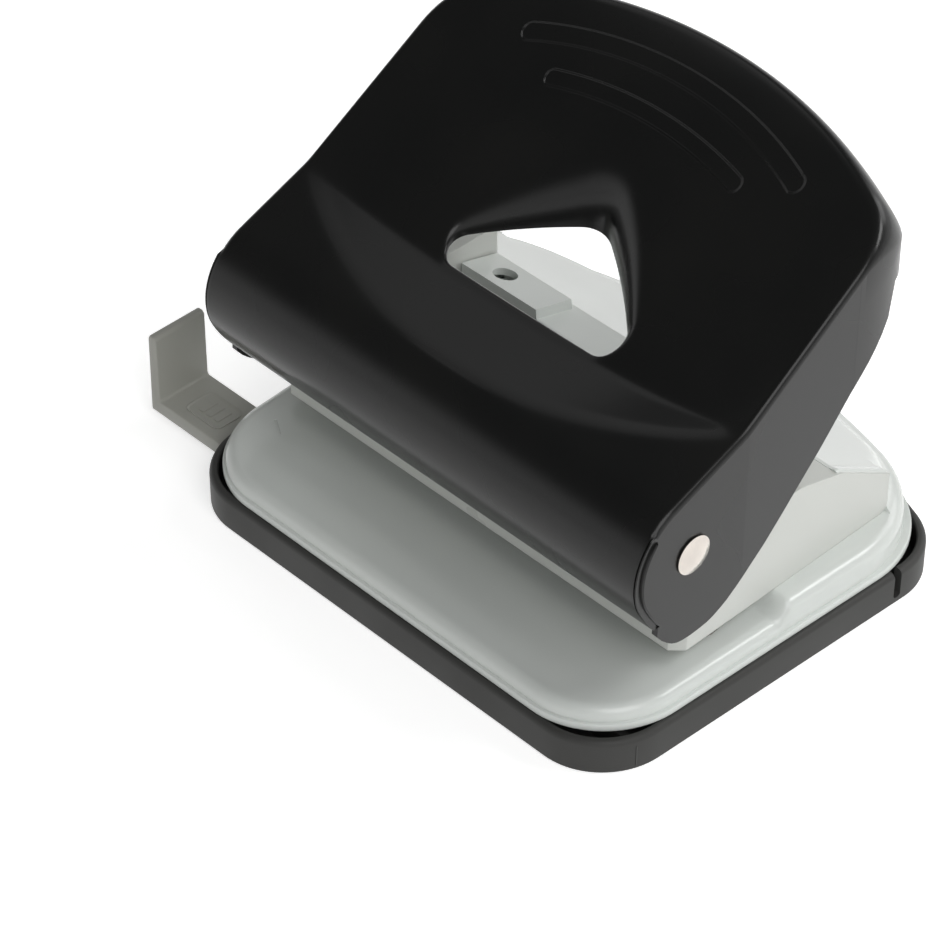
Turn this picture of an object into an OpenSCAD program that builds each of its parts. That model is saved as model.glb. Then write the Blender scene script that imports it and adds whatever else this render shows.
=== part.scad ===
// Two-hole desk paper punch: sheet-steel lever, plastic base, sliding paper guide.
// Origin: middle of the underside of the base. +X is the right end, +Y the back, +Z up.

/* [Punching] */
// Distance between the two holes in the paper
hole_spacing = 80; // [60:1:84]
// Diameter of a punch pin
pin_d = 5.5; // [4.5:0.1:6.5]
// Distance from the hole centres to the edge of the paper
paper_margin = 12; // [9:0.5:14]
// How far the hinge lies in front of the pins
pin_arm = 11.5; // [10:0.5:14]
// Angle that the lever is pressed through
press_deg = 32; // [24:1:34]
// Height of the gap that takes the paper
slot_h = 2.9; // [2.2:0.1:3.4]

/* [Base] */
// How far the base stands out beyond the frame on each side
base_margin = 5.8; // [5:0.1:8]
// How much wider the base gets towards the back, per millimetre
base_taper = 0.0009; // [0:0.0001:0.001]
// Depth of the base at the middle
base_d = 90; // [88:1:100]
// How far the back edge bows out
rear_bow = 12; // [8:0.5:14]
// Height of the dark chip tray
tray_h = 7; // [6.8:0.1:9]
// Wall of the chip tray
tray_wall = 1.6; // [1.2:0.1:2]
// Floor of the chip tray
tray_floor = 1.2; // [1:0.1:1.6]
// Height of the paper table above the tray
table_rise = 4.3; // [4:0.1:6]
// Wall of the light base shell
shell_wall = 3.4; // [3:0.1:4]
// Corner radius of the tray
tray_corner_r = 13; // [11:0.5:17]
// Corner radius of the shell
shell_corner_r = 17; // [15:0.5:20]
// Width of the slits beside the pull tab of the tray
slit_w = 1.5; // [1:0.1:2]

/* [Hood] */
// Height of the hood above the shoulders
hood_h = 16.5; // [15:0.5:18]
// Thickness of the hood's skin
hood_skin = 2; // [1.6:0.1:2.4]
// Diameter of the hole over a screw boss
boss_hole_d = 4.4; // [4:0.1:5]

/* [Frame] */
// Distance from a pin to the outside of the frame beside it
pin_side = 6.8; // [6.6:0.1:7.2]
// Wall of the frame
frame_wall = 2.5; // [2:0.1:3]
// Height of the hinge above the paper table
hinge_rise = 27.7; // [26:0.1:30]
// Radius of the frame's ear round the hinge
ear_r = 8; // [7:0.1:9]
// Outer diameter of a pin tower
tower_d = 13.4; // [13:0.1:13.6]
// Height of a pin tower
tower_h = 16; // [14:0.5:17]
// Thickness of the frame's floor
frame_floor = 3; // [2.4:0.1:3.4]

/* [Lever] */
// Gap between the frame and the lever, filled by a washer
hinge_gap = 1.8; // [1.2:0.1:2.4]
// How much narrower the handle gets towards the back, per millimetre
toe_in = 0.0006; // [0:0.00005:0.001]
// Thickness of the lever's sheet steel
sheet = 1.2; // [1:0.1:1.4]
// Radius of the roll at the lever's front
roll_r = 12.75; // [12.4:0.05:13.5]
// Slope of the lever's front stretch
front_slope = 20.5; // [18:0.5:24]
// Slope of the lever's handle
handle_slope = 32; // [28:1:36]
// Where the lever turns up, measured from the hinge
turn_y = 11; // [9:0.5:14]
// Distance from the hinge to the lever's back edge
lever_reach = 57.4; // [54:0.1:60]
// Corner radius at the lever's back
lever_corner_r = 4; // [3:0.5:10]
// Radius that the lever's back edge is curved with
lever_rear_r = 105; // [95:1:130]
// Depth of the dish that is pressed into the lever's middle
dish_depth = 4.9; // [3:0.1:5.5]
// Depth of the turned-down rim at the back
rim_h = 2.2; // [2:0.1:4]
// Half the width of the window in the lever
window_half = 19; // [15:0.5:22]
// Length of the window from its straight edge to its tip
window_l = 18.4; // [16:0.1:20]
// Radius of the window's front corners
window_r = 2.8; // [2:0.1:4]
// Radius of the window's tip
window_tip_r = 4.6; // [3:0.1:6]

/* [Paper guide] */
// Width of the guide's bar
guide_w = 11.5; // [9:0.1:12]
// Thickness of the guide's bar
guide_t = 2.8; // [2:0.1:3]
// Height of the end wall
guide_stop_h = 17; // [14:0.5:20]
// How far the paper stop is pulled out from the side of the base
guide_out = 14.8; // [4:0.1:40]

/* [Pins and springs] */
// Radius of the flat head on a pin
pin_head_r = 4; // [3.8:0.1:4.2]
// Thickness of a pin's head
pin_head_t = 1.6; // [1.2:0.1:2]
// Wire diameter of a return spring
spring_wire = 0.8; // [0.6:0.05:1]
// Turns of a return spring
spring_turns = 9; // [7:1:11]
// Diameter of the hinge rivets
rivet_d = 5; // [4:0.1:5.6]
// Diameter of the rivets' domed heads
rivet_head_d = 7.2; // [6.4:0.1:8.4]

/* [Clearances] */
// Radial clearance of a part that turns or slides on another
running = 0.05; // [0.03:0.01:0.1]
// Gap between pieces that must not touch
gap = 0.3; // [0.2:0.05:0.4]

/* [Hidden] */

// Widths, worked out from the distance between the holes
frame_w = hole_spacing + 2 * pin_side;
base_w = frame_w + 2 * base_margin;
lever_w = frame_w + 2 * (hinge_gap + sheet);

// Places, worked out from the sizes above
front_y = -base_d / 2;
rear_y = base_d / 2;
table_z = tray_h + table_rise;
shoulder_z = table_z + slot_h;
hinge_z = table_z + hinge_rise;
pin_x = hole_spacing / 2;
pin_y = -13.5;
hinge_y = pin_y - pin_arm;
stop_y = pin_y + paper_margin;
frame_front_y = hinge_y + 1;
frame_rear_y = 25.5;

// Base
strip_inset = 0.8;
table_edge_r = 3;
shoulder_edge_r = 4;
table_t = 2;
skirt_h = 1.2;
skirt_gap = 0.7;
shoulder_deck_t = 2;

// Hood: its back falls from the crest to the rear rim
hood_front_y = 4;
crest_y = 14;
crest_z = shoulder_z + hood_h - 0.7;
hood_front_z = crest_z + 2.9;
hood_half = frame_w / 2 - frame_wall - gap;
hood_rear_inset = 4.4;
bay_rear_y = frame_rear_y + 1.2 + gap;
hood_slope = 31.6;
boss_y = 8.5;
boss_r = 4;
boss_step = 2;
rib_x = pin_x - tower_d / 2 - 1.6;
boss_x = rib_x - 6.7;
boss_inner_x = boss_x - 11.7;
rib_t = 4.5;
rib_rear_y = 13;
rib_z = hinge_z - 1;
rib_low_z = hinge_z - 7;

// Pins: the press bar's rounded edge pushes their heads down
bar_edge_r = 1.5;
edge_z = hinge_z + pin_arm * tan(press_deg / 2);
pin_travel = 2 * pin_arm * tan(press_deg / 2);
head_gap = 0.2;
pin_head_z = edge_z - bar_edge_r - head_gap;
pin_tip_z = shoulder_z + 0.4;
pin_r = pin_d / 2;

// Dies
die_r = 5;
die_flange_r = 7;
die_flange_t = 1.5;
die_plate_t = 1.5;
die_plate_l = hole_spacing + 2 * die_r;
die_plate_d = 16;
chip_hole_r = pin_r + 1;
die_screw_x = [-pin_x + 12, pin_x - 12];

// Bushes and springs
bush_r = 4.5;
bush_h = 5.6;
spring_r = pin_r + spring_wire / 2 + 0.4;
spring_end_gap = 0.05;
spring_seat_z = shoulder_z + bush_h;
spring_top_z = pin_head_z - pin_head_t;

// Screws
screw_r = 1.5;
screw_head_r = 2.9;
screw_head_t = 1.8;

// Lever
cheek_x = lever_w / 2 - sheet;
roll_start = 215;
roll_end = 90 + front_slope;
turn_r = 14;
lip_r = 60;
lip_in = 14.2;
dish_y = pin_y + 0.5;
dish_front_y = hinge_y - 5;
dish_l = 28;
window_y = pin_y + 0.6;
window_edge_z = hinge_z + 13.6;
window_edge_slope = 17.5;
window_lip = 0.6;

// Guide
guide_z = tray_floor + 1;
guide_front_y = front_y + 10;
guide_end_t = 2.3;
guide_fit = 0.2;
guide_at = base_w / 2 + guide_out;
guide_l = base_w - 2 * tray_wall - 1;
rail_t = 1.3;
rail_lip = 0.9;
rail_lip_t = 0.8;

// ---------- helpers ----------

// Points on an arc about (cx, cy)
function arc(cx, cy, r, a0, a1, n) =
    [for (i = [0:n]) let (a = a0 + (a1 - a0) * i / n) [cx + r * cos(a), cy + r * sin(a)]];

// Radius of an arc of half width h and height s
function bow_r(h, s) = (h * h + s * s) / (2 * s);

// Outline with two round front corners and a bowed back with round corners
function outline(half, front, rear, r, big_r, inset) =
    let (
        h = half - inset, f = front + inset, b = rear - inset, q = r - inset, R = big_r - inset,
        yc = b - R,
        cy = yc + sqrt(pow(R - q, 2) - pow(h - q, 2)),
        phi = atan2(cy - yc, h - q)
    )
    [for (p = concat(
        arc(-h + q, f + q, q, 180, 270, 8),
        arc(h - q, f + q, q, 270, 360, 8),
        arc(h - q, cy, q, 0, phi, 8),
        [for (i = [1:13]) let (a = phi + (180 - 2 * phi) * i / 14) [R * cos(a), yc + R * sin(a)]],
        arc(-h + q, cy, q, 180 - phi, 180, 8)
    )) [p[0] * (1 + base_taper * p[1]), p[1]]];

// Plate over an outline, with its top edge rounded over
module rounded_plate(half, front, rear, r, big_r, inset, z0, z1, edge) {
    steps = 4;
    rings = concat(
        [[0, z0]],
        [for (k = [0:steps]) let (a = 90 * k / steps) [edge * (1 - cos(a)), z1 - edge + edge * sin(a)]]
    );
    loops = [for (g = rings) outline(half, front, rear, r, big_r, inset + g[0])];
    n = len(loops[0]);
    m = len(rings);
    points = [for (k = [0:m - 1]) for (p = loops[k]) [p[0], p[1], rings[k][1]]];
    sides = [for (k = [0:m - 2]) for (i = [0:n - 1]) let (j = (i + 1) % n)
        each [[k * n + i, (k + 1) * n + j, k * n + j], [k * n + i, (k + 1) * n + i, (k + 1) * n + j]]];
    polyhedron(points, concat([[for (i = [0:n - 1]) i]], [[for (i = [n - 1:-1:0]) (m - 1) * n + i]], sides));
}

// Prism across the whole width from a side view of [y, z] points
module across(half, points) {
    translate([-half, 0, 0]) rotate([90, 0, 90]) linear_extrude(2 * half) polygon(points);
}

// Cylinder along X, centred on the hinge axis height given
module axle(x0, x1, y, z, r) {
    translate([x0, y, z]) rotate([0, 90, 0]) cylinder(h = x1 - x0, r = r, $fn = 64);
}

module at_pins() {
    for (s = [-1, 1]) translate([s * pin_x, pin_y, 0]) children();
}

module rod(z0, z1, r) {
    translate([0, 0, z0]) cylinder(h = z1 - z0, r = r, $fn = 64);
}

// Prism between two places along X from a side view of [y, z] points
module across_between(x0, x1, points) {
    translate([x0, 0, 0]) rotate([90, 0, 90]) linear_extrude(x1 - x0) polygon(points);
}

module box(x0, x1, y0, y1, z0, z1) {
    translate([x0, y0, z0]) cube([x1 - x0, y1 - y0, z1 - z0]);
}

// ---------- base ----------

base_half = base_w / 2;
rear_r = bow_r(base_half, rear_bow);

module tray_plan(inset) {
    polygon(outline(base_half, front_y, rear_y, tray_corner_r, rear_r, inset));
}

module shell_plan(inset) {
    polygon(outline(base_half, front_y, rear_y, shell_corner_r, rear_r, strip_inset + inset));
}

module shell_block(z1, edge, inset = 0) {
    rounded_plate(base_half, front_y, rear_y, shell_corner_r, rear_r,
        strip_inset + inset, tray_h, z1, edge);
}

// Side view of the hood, thinned by t at the top
function hood_side(t) = [
    [hood_front_y, shoulder_z - 1],
    [hood_front_y, hood_front_z - t],
    [crest_y, crest_z - t],
    [rear_y, crest_z - t * 1.15 - (rear_y - crest_y) * tan(hood_slope)],
    [rear_y, shoulder_z - 3],
    [hood_front_y, shoulder_z - 3]
];

module hood_block(t) {
    intersection() {
        across(base_half, hood_side(t));
        linear_extrude(60) union() {
            translate([-hood_half + t, hood_front_y]) square([2 * (hood_half - t), bay_rear_y - hood_front_y + 1]);
            intersection() {
                shell_plan(hood_rear_inset + t);
                translate([-base_half, bay_rear_y + t]) square([base_w, base_d]);
            }
        }
    }
}

// Pads over the screw bosses, higher than the hood round them
module boss_pad() {
    across_between(boss_inner_x, rib_x - gap, [
        [hood_front_y, crest_z - 1], [hood_front_y, hood_front_z + boss_step],
        [crest_y - 1.3, crest_z + 0.4 + boss_step], [crest_y - 1.3, crest_z - 1]
    ]);
}

module base_shell() {
    color([0.81, 0.83, 0.81]) difference() {
        union() {
            difference() {
                union() {
                    shell_block(table_z, table_edge_r);
                    intersection() {
                        shell_block(shoulder_z, shoulder_edge_r);
                        box(-base_half, base_half, stop_y, rear_y, 0, shoulder_z);
                    }
                    hood_block(0);
                }
                // hollow below the table, below the shoulders and in the hood
                translate([0, 0, tray_h - 1])
                    linear_extrude(table_z - table_t - tray_h + 1) shell_plan(shell_wall);
                intersection() {
                    translate([0, 0, tray_h - 1])
                        linear_extrude(shoulder_z - shoulder_deck_t - tray_h + 1)
                        shell_plan(shoulder_edge_r + 0.5);
                    box(-base_half, base_half, stop_y + 2, rear_y, 0, shoulder_z);
                }
                intersection() {
                    hood_block(hood_skin);
                    box(-base_half, base_half, hood_front_y - 1, rear_y, shoulder_z, 60);
                }
                // way in for the frame: its floor, its ribs and the screws' plates
                box(-base_half, base_half, hood_front_y - 1, frame_rear_y - 1.5, shoulder_z,
                    shoulder_z + frame_floor + gap);
                for (s = [-1, 1]) scale([s, 1, 1])
                    box(rib_x - gap, base_half, hood_front_y - 1, rib_rear_y + gap, shoulder_z, 60);
            }
            // locating skirt inside the tray
            translate([0, 0, tray_h - skirt_h]) linear_extrude(skirt_h + 1) difference() {
                shell_plan(tray_wall + skirt_gap);
                shell_plan(shell_wall);
            }
            for (s = [-1, 1]) {
                scale([s, 1, 1]) boss_pad();
                translate([s * boss_x, boss_y, 0])
                    rod(shoulder_z + frame_floor + gap, crest_z + 0.5, boss_r);
            }
            for (x = die_screw_x) translate([x, pin_y, 0])
                rod(table_z - table_t - die_flange_t, table_z - 1, 4);
        }
        at_pins() rod(table_z - table_t - 1, table_z + 1, die_r);
        for (s = [-1, 1]) translate([s * boss_x, boss_y, 0]) {
            rod(tray_h, 60, screw_r);
            rod(crest_z - 3, 60, boss_hole_d / 2);
        }
        for (x = die_screw_x) translate([x, pin_y, 0]) rod(tray_h, table_z - 0.6, screw_r);
        // mark engraved in the table
        translate([-44, stop_y - 27, table_z - 0.3]) rotate(-32) cube([3.9, 0.6, 1]);
    }
}

// Rails that the guide slides between, with lips over it and seats under it
module guide_rails() {
    front = guide_front_y - guide_fit;
    back = guide_front_y + guide_w + guide_fit;
    top = guide_z + guide_t + guide_fit;
    intersection() {
        linear_extrude(tray_h) tray_plan(tray_wall / 2);
        for (y = [front - rail_t, back]) box(-base_half, base_half, y, y + rail_t, tray_floor / 2, top);
    }
    for (k = [0:2]) let (x = -base_half + 12.6 + base_w / 4 * k) {
        box(x, x + 8, front - rail_t, front + rail_lip, top, top + rail_lip_t);
        box(x, x + 8, back - rail_lip, back + rail_t, top, top + rail_lip_t);
        box(x, x + 4, front, back, tray_floor / 2, guide_z - 0.1);
    }
}

module chip_tray() {
    color([0.35, 0.34, 0.33]) difference() {
        union() {
            difference() {
                linear_extrude(tray_h) tray_plan(0);
                translate([0, 0, tray_floor]) linear_extrude(tray_h) tray_plan(tray_wall);
            }
            guide_rails();
        }
        // opening that the guide comes out of
        box(-base_half - 1, -base_half + tray_wall + 3, guide_front_y - guide_fit,
            guide_front_y + guide_w + guide_fit, guide_z - guide_fit, guide_z + guide_t + guide_fit);
        // slits beside the pull tab
        for (s = [-1, 1]) scale([s, 1, 1])
            box(base_half - 6, base_half + 1, 22, 22 + slit_w, tray_floor, tray_h + 1);
        // pockets for the pads
        pads(running);
    }
}

module pads(c) {
    for (x = [-1, 1]) for (y = [-1, 1])
        translate([x * (base_half - 17), y * (base_d / 2 - 17) - (y > 0 ? 3 : 0), c > 0 ? -1 : 0])
            cylinder(h = c > 0 ? 1.6 : 0.6, r = 5 + c, $fn = 48);
}

module anti_slip_pads() {
    color([0.16, 0.16, 0.16]) pads(0);
}

// ---------- frame ----------

function frame_side() = concat(
    [[frame_front_y, shoulder_z], [frame_front_y, hinge_z - 12]],
    arc(hinge_y, hinge_z, ear_r, 200, 20, 18),
    [
        [pin_y + 3.5, hood_front_z], [hood_front_y, hood_front_z],
        [crest_y, crest_z], [frame_rear_y + 1.2, crest_z - (frame_rear_y + 1.2 - crest_y) * tan(hood_slope)],
        [frame_rear_y + 1.2, shoulder_z + 0.8], [frame_rear_y, shoulder_z]
    ]
);

module punch_frame() {
    inner = frame_w / 2 - frame_wall;
    color([0.80, 0.82, 0.80]) difference() {
        union() {
            for (s = [-1, 1]) scale([s, 1, 1]) {
                across_between(inner, frame_w / 2, frame_side());
                // rib beside the hood, and the roof between rib and wall
                box(rib_x, rib_x + rib_t, pin_y + 4, rib_rear_y, shoulder_z, rib_low_z);
                box(rib_x, rib_x + rib_t, hood_front_y - 3, rib_rear_y, shoulder_z, rib_z);
                across_between(rib_x + 1, inner + 1, [
                    [pin_y + 8, hood_front_z - hood_skin], [pin_y + 8, hood_front_z],
                    [hood_front_y, hood_front_z],
                    [rib_rear_y, crest_z + (crest_y - rib_rear_y) * 0.29],
                    [rib_rear_y, crest_z + (crest_y - rib_rear_y) * 0.29 - hood_skin],
                    [hood_front_y, hood_front_z - hood_skin]
                ]);
            }
            // floor over the paper, with a lip at the front
            box(-inner - 1, inner + 1, frame_front_y, frame_rear_y - 2,
                shoulder_z, shoulder_z + frame_floor);
            box(-inner - 1, inner + 1, frame_front_y, frame_front_y + 2, shoulder_z, shoulder_z + 8);
            at_pins() rod(shoulder_z, shoulder_z + tower_h, tower_d / 2);
        }
        at_pins() {
            rod(shoulder_z - 1, spring_seat_z, bush_r);
            rod(spring_seat_z - 1, hinge_z + 20, spring_r + spring_wire / 2 + 0.5);
        }
        axle(-base_half, base_half, hinge_y, hinge_z, rivet_d / 2);
        for (s = [-1, 1]) {
            translate([s * boss_x, boss_y, 0])
                rod(shoulder_z - 1, shoulder_z + frame_floor + 1, screw_r + running);
            // cut front corners of the walls
            scale([s, 1, 1]) translate([frame_w / 2, frame_front_y, shoulder_z - 1])
                rotate(45) cube([3, 3, 34], center = true);
        }
    }
}

module frame_screws() {
    color([0.75, 0.75, 0.74]) for (s = [-1, 1]) translate([s * boss_x, boss_y, 0]) {
        rod(shoulder_z - shoulder_deck_t, crest_z - 5, screw_r - running);
        difference() {
            rod(shoulder_z - shoulder_deck_t - screw_head_t, shoulder_z - shoulder_deck_t, screw_head_r);
            slot_cross(shoulder_z - shoulder_deck_t - screw_head_t);
        }
    }
}

module slot_cross(z) {
    for (a = [0, 90]) translate([0, 0, z]) rotate(a) cube([3.4, 0.7, 1.6], center = true);
}

// ---------- dies ----------

module die_plate() {
    z1 = table_z - table_t - die_flange_t;
    color([0.72, 0.72, 0.70]) difference() {
        box(-die_plate_l / 2, die_plate_l / 2, pin_y - die_plate_d / 2, pin_y + die_plate_d / 2,
            z1 - die_plate_t, z1);
        at_pins() rod(0, table_z, chip_hole_r);
        for (x = die_screw_x) translate([x, pin_y, 0]) rod(0, table_z, screw_r + running);
    }
}

module die_screws() {
    z1 = table_z - table_t - die_flange_t - die_plate_t;
    color([0.75, 0.75, 0.74]) for (x = die_screw_x) translate([x, pin_y, 0]) {
        rod(z1, table_z - 0.9, screw_r - running);
        difference() {
            rod(z1 - 1, z1, screw_head_r);
            slot_cross(z1 - 1);
        }
    }
}

module die_bush(s) {
    color([0.62, 0.62, 0.61]) translate([s * pin_x, pin_y, 0]) difference() {
        union() {
            rod(table_z - table_t, table_z, die_r);
            rod(table_z - table_t - die_flange_t, table_z - table_t, die_flange_r);
        }
        rod(0, table_z + 1, pin_r + running);
        rod(0, table_z - 1.2, pin_r + 0.6);
    }
}

module die_left() { die_bush(-1); }
module die_right() { die_bush(1); }

// ---------- pins ----------

module guide_bush(s) {
    color([0.78, 0.66, 0.38]) translate([s * pin_x, pin_y, 0]) difference() {
        rod(shoulder_z + 0.2, spring_seat_z, bush_r);
        rod(0, spring_seat_z + 1, pin_r + running);
    }
}

module guide_bush_left() { guide_bush(-1); }
module guide_bush_right() { guide_bush(1); }

module punch_pin(s) {
    color([0.80, 0.80, 0.79]) translate([s * pin_x, pin_y, 0]) difference() {
        union() {
            rod(pin_tip_z, pin_head_z - pin_head_t, pin_r);
            rod(pin_head_z - pin_head_t, pin_head_z, pin_head_r);
        }
        // hollow-ground cutting face
        translate([-4, 0, pin_tip_z - 2.6]) rotate([0, 90, 0]) cylinder(h = 8, r = 3.4, $fn = 64);
    }
}

module pin_left() { punch_pin(-1); }
module pin_right() { punch_pin(1); }

// Return spring: one unbroken wire, 8 rings a turn and 6 sides
module return_spring(s) {
    rings = 8 * spring_turns;
    wire_r = spring_wire / 2;
    z0 = spring_seat_z + wire_r + spring_end_gap;
    z1 = spring_top_z - wire_r - spring_end_gap;
    points = [for (k = [0:rings]) for (j = [0:5])
        let (
            a = 360 * k / 8, b = 60 * j,
            r = spring_r + wire_r * cos(b),
            z = z0 + wire_r * sin(b) + (z1 - z0) * k / rings
        ) [r * cos(a), r * sin(a), z]];
    sides = [for (k = [0:rings - 1]) for (j = [0:5]) let (i = (j + 1) % 6)
        each [[k * 6 + j, (k + 1) * 6 + i, k * 6 + i], [k * 6 + j, (k + 1) * 6 + j, (k + 1) * 6 + i]]];
    caps = [[for (j = [0:5]) j], [for (j = [5:-1:0]) rings * 6 + j]];
    echo(str("least gap in the spring: ",
        min([for (k = [0:rings - 8]) for (j = [0:5]) for (i = [0:5])
            norm(points[(k + 8) * 6 + i] - points[k * 6 + j])]), " mm"));
    color([0.70, 0.70, 0.69]) translate([s * pin_x, pin_y, 0])
        polyhedron(points, concat(caps, sides));
}

module spring_left() { return_spring(-1); }
module spring_right() { return_spring(1); }

// ---------- lever ----------

// Side view of the lever's outer face, from the roll's lower edge to the back edge
roll_top = [hinge_y + roll_r * cos(roll_end), hinge_z + roll_r * sin(roll_end)];
turn_mid_y = hinge_y + turn_y;
turn_mid_z = roll_top[1] + (turn_mid_y - roll_top[0]) * tan(front_slope);
turn_len = turn_r * tan((handle_slope - front_slope) / 2);
turn_start = [turn_mid_y - turn_len * cos(front_slope), turn_mid_z - turn_len * sin(front_slope)];
turn_end = [turn_mid_y + turn_len * cos(handle_slope), turn_mid_z + turn_len * sin(handle_slope)];
lever_rear_y = hinge_y + lever_reach;
lip_y = lever_rear_y - lip_in;
lip_z = turn_mid_z + (lip_y - turn_mid_y) * tan(handle_slope);
lip_mid = [lip_y + lip_r * sin(handle_slope), lip_z - lip_r * cos(handle_slope)];

function between(a, b, n) = [for (i = [1:n - 1]) a + (b - a) * i / n];

// The face lies t below the outer one
function lever_face(t) =
    let (
        roll = arc(hinge_y, hinge_z, roll_r - t, roll_start, roll_end, 14),
        turn = arc(turn_start[0] - turn_r * sin(front_slope), turn_start[1] + turn_r * cos(front_slope),
            turn_r + t, front_slope - 90, handle_slope - 90, 3),
        lip = arc(lip_mid[0], lip_mid[1], lip_r - t, 90 + handle_slope, 90, 8)
    )
    concat(roll, between(roll[14], turn[0], 5), turn, between(turn[3], lip[0], 10), lip);

function reversed(v) = [for (i = [len(v) - 1:-1:0]) v[i]];

// Depth of the dish: from a valley that bulges forwards, deepest at the bend, then fading out
function dish(x, y) =
    let (
        share = min(1, 2 * abs(x) / lever_w),
        start = dish_front_y + 16 * share * share,
        deep = dish_depth * (1 - pow(min(1, 1.015 * share), 3.2))
    )
    y <= start ? 0 : y <= dish_y ? deep * (y - start) / max(dish_y - start, 0.01)
    : deep * max(0, 1 - (y - dish_y) / dish_l);

dish_columns = let (half = [0.08, 0.24, 0.4, 0.56, 0.68, 0.78, 0.87, 0.94, 0.985, 1])
    lever_w / 2 * concat(-reversed(half), half);

// Dished sheet, as wide as the lever and still uncut; its upper side can be raised
module dished_sheet(raised = 0, first = 0) {
    faces_at = [for (t = [0, sheet]) let (f = lever_face(t)) [for (j = [first:len(f) - 1]) f[j]]];
    n = len(dish_columns);
    m = len(faces_at[0]);
    points = [for (k = [0, 1]) for (q = faces_at[k]) for (x = dish_columns)
        [x, q[0], q[1] - dish(x, q[0]) + (k == 0 ? raised : 0)]];
    at = function (k, j, i) (k * m + j) * n + i;
    skins = [for (j = [0:m - 2]) for (i = [0:n - 2]) each [
        [at(0, j, i), at(0, j + 1, i), at(0, j, i + 1)],
        [at(0, j, i + 1), at(0, j + 1, i), at(0, j + 1, i + 1)],
        [at(1, j, i), at(1, j, i + 1), at(1, j + 1, i)],
        [at(1, j, i + 1), at(1, j + 1, i + 1), at(1, j + 1, i)]]];
    ends = [for (i = [0:n - 2]) each [
        [at(0, 0, i), at(0, 0, i + 1), at(1, 0, i)],
        [at(0, 0, i + 1), at(1, 0, i + 1), at(1, 0, i)],
        [at(0, m - 1, i), at(1, m - 1, i), at(0, m - 1, i + 1)],
        [at(0, m - 1, i + 1), at(1, m - 1, i), at(1, m - 1, i + 1)]]];
    sides = [for (j = [0:m - 2]) each [
        [at(0, j, 0), at(1, j, 0), at(0, j + 1, 0)],
        [at(0, j + 1, 0), at(1, j, 0), at(1, j + 1, 0)],
        [at(0, j, n - 1), at(0, j + 1, n - 1), at(1, j, n - 1)],
        [at(0, j + 1, n - 1), at(1, j + 1, n - 1), at(1, j, n - 1)]]];
    polyhedron(points, concat(skins, ends, sides));
}

// Plan of the lever; it runs past the front, so that only the sides and back are cut by it
module lever_plan(inset) {
    h = lever_w / 2 - inset;
    q = lever_corner_r - inset;
    R = lever_rear_r - inset;
    yc = lever_rear_y - lever_rear_r;
    cy = yc + sqrt(pow(R - q, 2) - pow(h - q, 2));
    phi = atan2(cy - yc, h - q);
    rear = concat(
        arc(h - q, cy, q, 0, phi, 8),
        [for (i = [1:13]) let (a = phi + (180 - 2 * phi) * i / 14) [R * cos(a), yc + R * sin(a)]],
        arc(-h + q, cy, q, 180 - phi, 180, 8)
    );
    polygon(concat(
        [[-h, dish_y], [-h, hinge_y - 40], [h, hinge_y - 40], [h, dish_y]],
        [for (p = rear) [p[0] * (1 - toe_in * (p[1] - dish_y)), p[1]]]
    ));
}

// Side view of everything below the outer face down to the lower edge of the cheeks and rim
function cheek_side() = concat(
    lever_face(0),
    [for (p = reversed(lever_face(rim_h + sheet))) if (p[0] > hinge_y + 47) p],
    [for (p = [[47, 26.6], [46.5, 22], [45, 19.2], [41.5, 15], [36, 8.7], [25.8, -1.4], [14.6, -9.3]])
        [hinge_y + p[0], hinge_z + p[1]]],
    arc(hinge_y + 0.8, hinge_z - 10, 8.6, 312, 218, 10)
);

// Rounded triangle of the window, seen from above: circles and their common tangents
module window_plan(grow = 0) {
    r = window_r + grow;
    tip_r = window_tip_r + grow;
    front = [window_half - window_r, window_y + window_r];
    tip = [0, window_y + window_l - window_tip_r];
    reach = norm(tip - front);
    a = atan2(tip[1] - front[1], -front[0]) - acos((window_r - window_tip_r) / reach);
    n = [cos(a), sin(a)];
    for (s = [-1, 1]) translate([s * front[0], front[1]]) circle(r, $fn = 64);
    translate(tip) circle(tip_r, $fn = 64);
    polygon([
        [-front[0], front[1] - r], [front[0], front[1] - r], front + r * n, tip + tip_r * n,
        [-tip_r * n[0], tip[1] + tip_r * n[1]], [-front[0] - r * n[0], front[1] + r * n[1]]
    ]);
}

// Side view of the window's turned-down edge, from inside the sheet to its lower edge
function window_edge_side() =
    let (
        skin = [for (q = lever_face(0)) if (q[0] > window_y - 4 && q[0] < window_y + window_l + 5)
            [q[0], q[1] - dish(window_half / 2, q[0]) - sheet / 2]],
        low = function (y) (window_edge_z + (y - window_y) * tan(window_edge_slope) - window_lip)
    )
    concat(skin, [for (q = reversed(skin)) [q[0], min(q[1] - 0.3, low(q[0]))]]);

module lever() {
    color([0.10, 0.10, 0.10]) difference() {
        union() {
            intersection() {
                dished_sheet();
                linear_extrude(120) lever_plan(0);
            }
            intersection() {
                linear_extrude(120) difference() {
                    lever_plan(0);
                    lever_plan(sheet);
                }
                across(lever_w / 2, cheek_side());
            }
            intersection() {
                linear_extrude(120) difference() {
                    window_plan(sheet);
                    window_plan(0);
                }
                across(window_half + 4, window_edge_side());
            }
        }
        translate([0, 0, hinge_z]) linear_extrude(60) window_plan();
        axle(-base_half, base_half, hinge_y, hinge_z, rivet_d / 2 + running);
    }
}

// Steel angle welded under the lever, whose round edge presses on the pin
bar_x = [pin_x - 12, frame_w / 2 - frame_wall - 2 * gap];
bar_flange = 11;

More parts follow.
